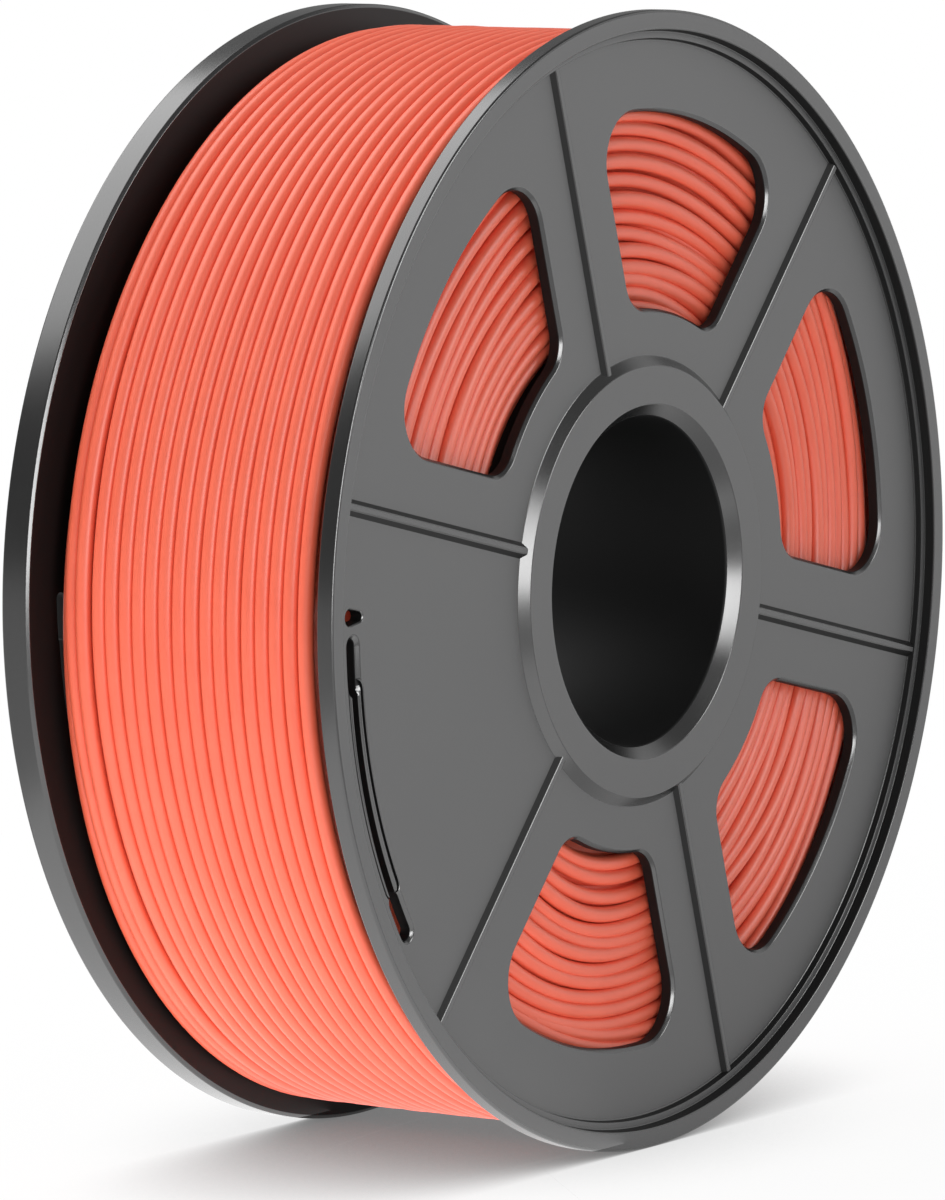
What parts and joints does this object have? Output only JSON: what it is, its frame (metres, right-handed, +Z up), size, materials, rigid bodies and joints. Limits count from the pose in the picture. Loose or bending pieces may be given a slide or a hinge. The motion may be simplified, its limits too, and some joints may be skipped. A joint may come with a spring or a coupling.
{
  "type": "filament spool",
  "caption": "Plastic filament spool of two snapped halves with windowed, ribbed flanges and a through bore, wound with one strand of thick filament.",
  "frame": {"origin": "middle of the spool: on the bore's axis, half way between the two rim faces", "axes": "+Y along the spool's axis, from the front rim face to the rear one; +Z up with the spool standing on its rims"},
  "size_m": [0.2, 0.068, 0.2],
  "materials": {
    "front_half": "satin dark grey moulded plastic",
    "rear_half": "satin dark grey moulded plastic",
    "filament_core": "glossy coral filament",
    "filament_outer_layer": "glossy coral filament"
  },
  "bodies": {
    "root": {"front_half": "front_half", "rear_half": "rear_half", "filament_core": "filament_core", "filament_outer_layer": "filament_outer_layer"}
  },
  "joints": []
}
